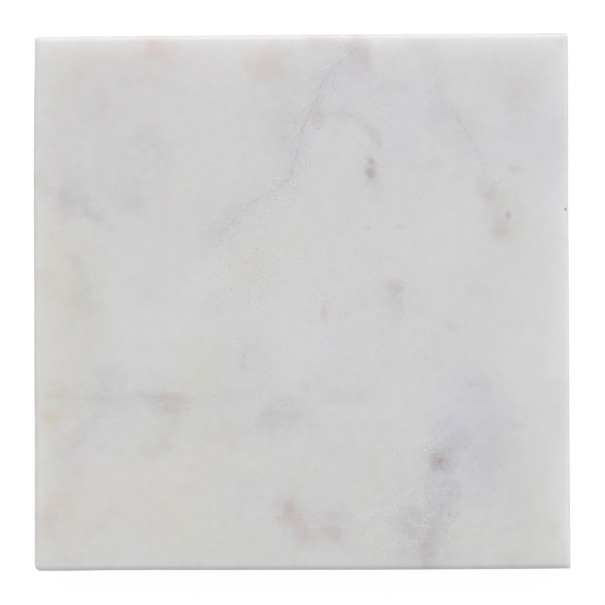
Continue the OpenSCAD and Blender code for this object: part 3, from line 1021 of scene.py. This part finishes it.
def stationsAlong(low, high, pitSpans):
    # places of the mesh columns: an even pitch, and closer columns across each pit
    count = round((high - low) / slab["pitch"])
    places = [low + (high - low) * i / count for i in range(count + 1)]
    closer = [middle + radius * step for middle, radius in pitSpans for step in (-1, -0.5, 0, 0.5, 1)]
    room = slab["columnRoom"]
    kept = [p for p in places if all(abs(p - c) > room for c in closer) or p in (low, high)]
    merged = []
    for place in sorted(kept + closer):
        if not merged or place - merged[-1] > slab["leastColumn"]:
            merged.append(place)
    return merged


def swell(x, y, size, layer):
    # smooth noise over the plan of the slab, different in each layer
    return noise.noise(Vector((x / size, y / size, layer)))


def bowOf(side, along):
    bow = 0
    for height, place, spread in slab["bows"][side]:
        bow += height * math.exp(-(((along - place) / spread) ** 2))
    return bow


def bowAt(side, along, out):
    # round a corner the bow of one side runs into the bow of the next
    neighbour = (side + (1 if out.x > 0 else 3)) % 4
    end = -math.copysign(stoneHigh.x, out.x)
    return bowOf(side, along) * out.y ** 2 + bowOf(neighbour, end) * out.x ** 2


def slabRing(inset, radii, stations):
    # one level ring, anticlockwise from the front left corner: point, outward direction, bow
    # the stations are the places of its mesh columns along a side, for the front and for the right
    half = stoneHigh.x - inset
    steps = slab["cornerSteps"]
    ring = []
    for side in range(4):
        first, second = radii[side], radii[(side + 1) % 4]
        turn = Matrix.Rotation(math.radians(90 * side), 2)
        places = stations[side % 2]
        if side > 1:
            places = [-p for p in reversed(places)]
        local = []
        for i in range(steps):
            angle = math.radians(225 + 45 * i / steps)
            out = Vector((math.cos(angle), math.sin(angle)))
            local.append((Vector((first - half, first - half)) + out * first, out))
        low, high = first - half, half - second
        for p in places:
            share = (p - places[0]) / (places[-1] - places[0])
            local.append((Vector((low + (high - low) * share, -half)), Vector((0, -1))))
        for i in range(1, steps):
            angle = math.radians(270 + 45 * i / steps)
            out = Vector((math.cos(angle), math.sin(angle)))
            local.append((Vector((half - second, second - half)) + out * second, out))
        for point, out in local:
            ring.append((turn @ point, turn @ out, bowAt(side, point.x, out)))
    return ring


def honeDip(x, y):
    # the honed faces dip a few microns, never rise
    long, short = slab["honeSizes"]
    wave = swell(x, y, long, 3.1) + 0.4 * swell(x, y, short, 8.7)
    return slab["hone"] * (0.5 + 0.35 * wave)


def pitPush(point):
    # how far a point near the top sinks into the pits; each runs out a little beyond its radius
    depth = 0
    for centre, radius, deepest in pits.values():
        off = (point.xy - Vector(centre)).length / (radius * 1.3)
        if off < 1 and point.z > stoneHigh.z - 2:
            depth += deepest * (1 - off * off) ** 2
    return depth


def slabRings(stations):
    # every ring, from the flat top over the ease, down the side and round the arris to the underside
    ease, arris = slab["easeRadius"], slab["arris"]
    steps = []
    for i in range(slab["easeSteps"] + 1):
        steps.append(("ease", math.pi / 2 * i / slab["easeSteps"]))
    for i in range(1, slab["sideSteps"]):
        steps.append(("side", i / slab["sideSteps"]))
    for i in range(slab["arrisSteps"] + 1):
        steps.append(("arris", i / slab["arrisSteps"]))
    long, short = slab["wanderSizes"]
    mitre = slab["mitreRadius"]
    rings = []
    for kind, t in steps:
        inset = {"ease": ease * (1 - math.sin(t)), "side": 0, "arris": arris * t}[kind]
        share = math.sin(t) if kind == "ease" else 1
        radii = [mitre + (radius - mitre) * share for radius in slab["cornerRadii"]]
        points = []
        for flat, out, bow in slabRing(inset, radii, stations):
            anchor = flat + out * inset
            wander = swell(*anchor, long, 1.7) + 0.5 * swell(*anchor, short, 5.2)
            localEase = ease * (1 + slab["easeWander"] * wander)
            nibble = max(0, swell(*anchor, slab["nibbleSize"], 9.4) - slab["nibbleSpared"])
            localArris = arris * (1 + slab["arrisWander"] * wander) + slab["nibble"] * nibble
            flat = flat + out * bow
            outwards, level = out.to_3d(), Vector((0, 0, 1))
            if kind == "ease":
                spot = flat + out * (inset - localEase * (1 - math.sin(t)))
                z = stoneHigh.z - localEase * (1 - math.cos(t)) - honeDip(spot.x, spot.y) * (1 - share)
                normal = outwards * math.sin(t) + level * math.cos(t)
            elif kind == "side":
                ripple = slab["ripple"] * swell(*anchor, slab["rippleSize"], t * 1.5)
                spot = flat + out * (ripple * math.sin(math.pi * t))
                z = (stoneHigh.z - localEase) * (1 - t) + (stoneLow.z + localArris) * t
                normal = outwards
            else:
                bulge = slab["arrisBulge"] * math.sin(math.pi * t)
                spot = flat + out * (inset - localArris * t + bulge)
                z = stoneLow.z + localArris * (1 - t) - bulge * (0 if t in (0, 1) else 0.5)
                normal = outwards - level
            point = Vector((spot.x, spot.y, z))
            points.append(point - normal.normalized() * pitPush(point))
        rings.append(points)
    return rings


def faceGrid(ring, columns, rows):
    # fills a ring with a grid that follows its four sides
    front = ring[: columns + 1]
    right = ring[columns: columns + rows + 1]
    back = ring[columns + rows: 2 * columns + rows + 1][::-1]
    left = (ring[2 * columns + rows:] + ring[:1])[::-1]
    grid = []
    for i in range(columns + 1):
        line = []
        for j in range(rows + 1):
            u = (front[i].x - front[0].x) / (front[-1].x - front[0].x)
            v = (left[j].y - left[0].y) / (left[-1].y - left[0].y)
            point = front[i] * (1 - v) + back[i] * v + left[j] * (1 - u) + right[j] * u
            point -= front[0] * (1 - u) * (1 - v) + front[-1] * u * (1 - v)
            point -= back[0] * (1 - u) * v + back[-1] * u * v
            line.append(point)
        grid.append(line)
    return grid


def joinGrid(mesh, ringVerts, columns, rows, height, flip, indexAt):
    ring = [v.co / mm for v in ringVerts]
    grid = faceGrid(ring, columns, rows)
    count = len(ringVerts)
    made = {}
    for i in range(columns + 1):
        for j in range(rows + 1):
            if j == 0:
                made[i, j] = ringVerts[i]
            elif i == columns:
                made[i, j] = ringVerts[columns + j]
            elif j == rows:
                made[i, j] = ringVerts[2 * columns + rows - i]
            elif i == 0:
                made[i, j] = ringVerts[(2 * columns + 2 * rows - j) % count]
            else:
                point = grid[i][j]
                point.z = height(point)
                made[i, j] = mesh.verts.new(point * mm)
    for i in range(columns):
        for j in range(rows):
            corners = [made[i, j], made[i + 1, j], made[i + 1, j + 1], made[i, j + 1]]
            if flip:
                corners.reverse()
            mesh.faces.new(corners).material_index = indexAt(*grid[i][j].xy)


def topHeight(point):
    flat = Vector((point.x, point.y, stoneHigh.z - honeDip(point.x, point.y)))
    return flat.z - pitPush(flat)


def baseHeight(point):
    return stoneLow.z + honeDip(point.y, point.x)


def finishMesh(mesh, name, materials, node, sharp=35):
    data = bpy.data.meshes.new(name)
    bmesh.ops.recalc_face_normals(mesh, faces=mesh.faces)
    mesh.to_mesh(data)
    mesh.free()
    for material in materials:
        data.materials.append(material)
    data.shade_smooth()
    data.set_sharp_from_angle(angle=math.radians(sharp))
    piece = bpy.data.objects.new(name, data)
    bpy.context.scene.collection.objects.link(piece)
    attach(piece, "root")
    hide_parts(node)
    return piece


def buildSlab():
    reach = stoneHigh.x - 1.2  # the even columns end before the corners
    alongX = [(x, radius) for (x, y), radius, _ in pits.values() if abs(x) < reach]
    alongY = [(y, radius) for (x, y), radius, _ in pits.values() if abs(y) < reach]
    stations = (stationsAlong(-reach, reach, alongX), stationsAlong(-reach, reach, alongY))
    columns = len(stations[0]) - 1 + 2 * slab["cornerSteps"]
    rows = len(stations[1]) - 1 + 2 * slab["cornerSteps"]
    mesh = bmesh.new()
    rings = [[mesh.verts.new(point * mm) for point in ring] for ring in slabRings(stations)]
    for upper, lower in zip(rings, rings[1:]):
        for i in range(len(upper)):
            j = (i + 1) % len(upper)
            face = mesh.faces.new((upper[i], lower[i], lower[j], upper[j]))
            face.material_index = fieldAt(*upper[i].co.xy)
    joinGrid(mesh, rings[0], columns, rows, topHeight, False, fieldAt)
    joinGrid(mesh, rings[-1], columns, rows, baseHeight, True, sawnField)
    materials = [makeMarble("honedMarble" + str(field), field) for field in range(4)]
    materials.append(makeMarble("sawnMarble"))
    piece = finishMesh(mesh, "marble_slab", materials, "stone_slab")
    print("marble slab:", len(piece.data.polygons), "faces")


cork = {
    "rim": 0.4,  # soft lower rim
    "granule": 0.95,
    "granuleSeam": 0.07,  # width of the seams, as a share of the granule
    "crumb": 0.42,
    "crumbSeam": 0.09,
    "crumbled": 0.45,  # share of the granules that are packed from crumbs
    "wobble": 0.25,  # how far the seams are pushed out of line
    "wobbleSize": 0.7,
    "seamShade": 0.5,
    "granuleLift": 0.05,
    "seamDepth": 0.06,
    "openSeam": 0.16,
    "around": 132,
    "ringPitch": 0.35,
    "rimSteps": 4,
    "wallRows": 6,
    "pale": (0.50, 0.315, 0.165),
    "dark": (0.27, 0.15, 0.07),
    "bark": (0.09, 0.045, 0.02),
    "barkFlecks": (0.9, 0.3, 0.16),  # per millimetre, size, share of the cells that have one
    "flour": (0.72, 0.52, 0.33),  # fine cork dust in the pores
    "flourSize": 0.16,
    "roughness": (0.78, 0.96),
    "relief": 0.08,
}


def makeCork():
    material, tree, shader = newMaterial("pressedCork")
    place = millimetrePlace(tree)
    wobble = noiseOf(tree, place, cork["wobbleSize"], detail=2.0, output=1)
    wobble = vectorMaths(tree, "MULTIPLY", wobble, [cork["wobble"]] * 3)
    place = vectorMaths(tree, "ADD", place, wobble)
    grains = {}
    for size in ("granule", "crumb"):
        grains[size] = useGroup(
            tree,
            packedGrains,
            size + "s",
            place=place,
            perMillimetre=1 / cork[size],
            seamWidth=cork[size + "Seam"],
        )
    large, small = grains["granule"], grains["crumb"]
    # some of the large granules are packed from crumbs
    crumbled = maths(tree, "GREATER_THAN", large["Second Shade"], 1 - cork["crumbled"])
    shade = remap(tree, crumbled, 0, 1, large["Shade"], small["Shade"], smooth=False)
    seam = maths(tree, "MAXIMUM", large["Seam"], maths(tree, "MULTIPLY", small["Seam"], crumbled))
    colour = blend(tree, shade, colourOf(cork["dark"]), colourOf(cork["pale"]))
    flour = noiseOf(tree, place, cork["flourSize"], detail=3.0, roughness=0.7)
    colour = blend(tree, remap(tree, flour, 0.35, 0.7, 0.0, 0.35), colour, colourOf(cork["flour"]))
    bark = scattered(tree, "bark flecks", place, *cork["barkFlecks"])
    colour = blend(tree, maths(tree, "MULTIPLY", bark, 0.8), colour, colourOf(cork["bark"]))
    worn = maths(tree, "MULTIPLY", seam, remap(tree, flour, 0.35, 0.65, cork["seamShade"], 0.1))
    colour = blend(tree, worn, colour, colourOf(cork["bark"]))
    feed(tree, shader.inputs["Base Color"], colour)
    feed(tree, shader.inputs["Roughness"], remap(tree, flour, 0.2, 0.8, *cork["roughness"]))
    height = maths(tree, "MULTIPLY_ADD", seam, -0.7, maths(tree, "MULTIPLY", flour, 0.8))
    height = maths(tree, "SUBTRACT", height, bark)
    addBump(tree, shader, height, 0.7, cork["relief"])
    tidyLayout(tree, 8)
    return material


def granuleRelief(point):
    # granules stand a little proud or low, with open seams between them
    distances, centres = noise.voronoi(point / cork["granule"])
    lift = noise.cell(centres[0] * 3) * cork["granuleLift"]
    seam = max(0, 1 - (distances[1] - distances[0]) / cork["openSeam"])
    return abs(lift) + cork["seamDepth"] * seam


def discRings(radius, low, high, disc):
    # profile of a disc from the middle of its lower face to the middle of its upper face
    rim, rows = disc["rim"], disc["wallRows"]
    flat = radius - rim
    inner = max(2, round(flat / disc["ringPitch"]))
    profile = [(flat * i / inner, low, (0, -1)) for i in range(1, inner + 1)]
    for i in range(1, disc["rimSteps"] + 1):
        angle = math.pi / 2 * i / disc["rimSteps"]
        out = (math.sin(angle), -math.cos(angle))
        profile.append((flat + rim * out[0], low + rim + rim * out[1], out))
    for i in range(1, rows + 1):
        profile.append((radius, low + rim + (high - low - rim) * i / rows, (1, 0)))
    for i in range(inner - 1, 0, -1):
        profile.append((flat * i / inner, high, (0, 1)))
    return profile


def buildDisc(name, node, material, disc, relief):
    low, high = (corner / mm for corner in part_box(node))
    centre = (low + high) / 2
    profile = discRings((high.x - low.x) / 2, low.z, high.z, disc)
    around = disc["around"]
    mesh = bmesh.new()
    rings = []
    for radius, z, (outX, outZ) in profile:
        ring = []
        for i in range(around):
            angle = 2 * math.pi * i / around
            out = Vector((math.cos(angle), math.sin(angle), 0))
            point = Vector((centre.x, centre.y, z)) + out * radius
            normal = out * outX + Vector((0, 0, outZ))
            ring.append(mesh.verts.new((point - normal * relief(point, normal)) * mm))
        rings.append(ring)
    for inner, outer in zip(rings, rings[1:]):
        for i in range(around):
            j = (i + 1) % around
            mesh.faces.new((inner[i], outer[i], outer[j], inner[j]))
    for ring, z in ((rings[0], low.z), (rings[-1], high.z)):
        hub = mesh.verts.new(Vector((centre.x, centre.y, z)) * mm)
        for i in range(around):
            mesh.faces.new((hub, ring[i], ring[(i + 1) % around]))
    finishMesh(mesh, name, (material,), node, sharp=50)


def corkRelief(point, normal):
    # the face against the film stays flat
    return 0 if normal.z > 0.5 else granuleRelief(point)


film = {
    "rim": 0,  # cut square
    "colour": (0.71, 0.67, 0.56),
    "clouded": (0.62, 0.58, 0.47),
    "bubble": (0.80, 0.78, 0.70),
    "dusty": (0.42, 0.36, 0.27),
    "bubbles": (1.3, 0.2, 0.3),  # per millimetre, size, share of the cells that have one
    "dust": (2.2, 0.3, 0.25),
    "mottleSize": 1.4,
    "roughness": (0.34, 0.5),
    "relief": 0.03,
    "waver": 0.05,  # how far the cut edge goes in and out
    "waves": 0.9,  # per millimetre
    "around": 120,
    "ringPitch": 1.4,
    "rimSteps": 0,
    "wallRows": 2,
}


def filmRelief(point, normal):
    # the cut edge of the film wavers
    if abs(normal.z) > 0.5:
        return 0
    return film["waver"] + film["waver"] * noise.noise(point * film["waves"])


def makeFilm():
    material, tree, shader = newMaterial("adhesiveFilm")
    place = millimetrePlace(tree)
    mottle = noiseOf(tree, place, film["mottleSize"], detail=3.0)
    clouded = remap(tree, mottle, 0.35, 0.7)
    colour = blend(tree, clouded, colourOf(film["colour"]), colourOf(film["clouded"]))
    bubbles = scattered(tree, "bubbles", place, *film["bubbles"])
    colour = blend(tree, maths(tree, "MULTIPLY", bubbles, 0.5), colour, colourOf(film["bubble"]))
    dust = scattered(tree, "caught dust", place, *film["dust"])
    colour = blend(tree, maths(tree, "MULTIPLY", dust, 0.6), colour, colourOf(film["dusty"]))
    feed(tree, shader.inputs["Base Color"], colour)
    feed(tree, shader.inputs["Roughness"], remap(tree, mottle, 0.3, 0.7, *film["roughness"]))
    addBump(tree, shader, maths(tree, "SUBTRACT", mottle, bubbles), 0.4, film["relief"])
    tidyLayout(tree, 8)
    return material


def buildFeet():
    corkMaterial = makeCork()
    filmMaterial = makeFilm()
    for corner in footNames:
        node = "cork_foot_" + corner
        buildDisc("cork_disc_" + corner, node, corkMaterial, cork, corkRelief)
        node = "adhesive_film_" + corner
        buildDisc("film_disc_" + corner, node, filmMaterial, film, filmRelief)
    print("feet: four cork discs on four films")


# Lamps: strength as a share of what a white card needs, where the light comes from, softness in degrees
light = {
    "skyFrontToBack": (0.25, 1.05),
    "lamps": {
        "backLamp": dict(share=0.36, azimuth=80, elevation=50, spread=40, colour=(1.0, 1.0, 1.0)),
        "lowBackLamp": dict(share=0.04, azimuth=88, elevation=8, spread=30, colour=(1.0, 1.0, 1.0)),
        "lowRightLamp": dict(share=0.18, azimuth=-5, elevation=8, spread=30, colour=(0.95, 0.95, 1.0)),
        "lowLeftLamp": dict(share=0.04, azimuth=185, elevation=8, spread=30, colour=(1.0, 0.98, 0.95)),
    },
    "floorSide": 3.0,
    "floorColour": 0.60,
    "floorShadow": 0.06,  # how much of the floor's white is real light, which a shadow takes away
    "floorGlow": 0.965,
}


def whiteForCamera(tree):
    # 1 where the camera, a reflection or a see-through ray looks
    path = tree.nodes.new("ShaderNodeLightPath")
    seen = maths(tree, "MAXIMUM", path.outputs["Is Camera Ray"], path.outputs["Is Glossy Ray"])
    return maths(tree, "MAXIMUM", seen, path.outputs["Is Transmission Ray"])


def makeWorld():
    world = bpy.data.worlds.new("studioSky")
    bpy.context.scene.world = world
    world.use_nodes = True
    tree = world.node_tree
    tree.nodes.clear()
    back = tree.nodes.new("ShaderNodeBackground")
    out = tree.nodes.new("ShaderNodeOutputWorld")
    feed(tree, back.inputs["Color"], (1, 1, 1, 1))
    # the studio is brighter behind the coaster than in front of it
    coordinates = tree.nodes.new("ShaderNodeTexCoord")
    _, towardsBack, _ = parts(tree, coordinates.outputs["Generated"])
    sky = remap(tree, towardsBack, -1, 1, *light["skyFrontToBack"], smooth=False)
    feed(tree, back.inputs["Strength"], remap(tree, whiteForCamera(tree), 0, 1, sky, 1.0, smooth=False))
    tree.links.new(back.outputs[0], out.inputs[0])


def makeLamps():
    for name, lamp in light["lamps"].items():
        data = bpy.data.lights.new(name, "SUN")
        data.energy = lamp["share"] * math.pi
        data.angle = math.radians(lamp["spread"])
        data.color = lamp["colour"]
        made = bpy.data.objects.new(name, data)
        bpy.context.scene.collection.objects.link(made)
        azimuth, elevation = math.radians(lamp["azimuth"]), math.radians(lamp["elevation"])
        towards = Vector((
            math.cos(azimuth) * math.cos(elevation),
            math.sin(azimuth) * math.cos(elevation),
            math.sin(elevation),
        ))
        made.rotation_mode = "QUATERNION"
        made.rotation_quaternion = towards.to_track_quat("Z", "Y")
        made.location = towards


def makeFloor():
    mesh = bmesh.new()
    bmesh.ops.create_grid(mesh, x_segments=12, y_segments=12, size=light["floorSide"] / 2)
    data = bpy.data.meshes.new("studioFloor")
    mesh.to_mesh(data)
    mesh.free()
    floor = bpy.data.objects.new("studioFloor", data)
    bpy.context.scene.collection.objects.link(floor)
    material = bpy.data.materials.new("studioFloor")
    material.use_nodes = True
    tree = material.node_tree
    tree.nodes.clear()
    out = tree.nodes.new("ShaderNodeOutputMaterial")
    plain = tree.nodes.new("ShaderNodeBsdfDiffuse")
    plain.inputs["Color"].default_value = colourOf([light["floorColour"]] * 3)
    shadowed = tree.nodes.new("ShaderNodeBsdfDiffuse")
    shadowed.inputs["Color"].default_value = colourOf([light["floorShadow"]] * 3)
    glow = tree.nodes.new("ShaderNodeEmission")
    glow.inputs["Strength"].default_value = light["floorGlow"]
    seenFloor = tree.nodes.new("ShaderNodeAddShader")
    tree.links.new(shadowed.outputs[0], seenFloor.inputs[0])
    tree.links.new(glow.outputs[0], seenFloor.inputs[1])
    choice = tree.nodes.new("ShaderNodeMixShader")
    feed(tree, choice.inputs[0], whiteForCamera(tree))
    tree.links.new(plain.outputs[0], choice.inputs[1])
    tree.links.new(seenFloor.outputs[0], choice.inputs[2])
    tree.links.new(choice.outputs[0], out.inputs["Surface"])
    data.materials.append(material)


makeCamera()
buildSlab()
buildFeet()
makeWorld()
makeLamps()
makeFloor()
bpy.context.scene.view_settings.view_transform = "Standard"
print("studio ready")
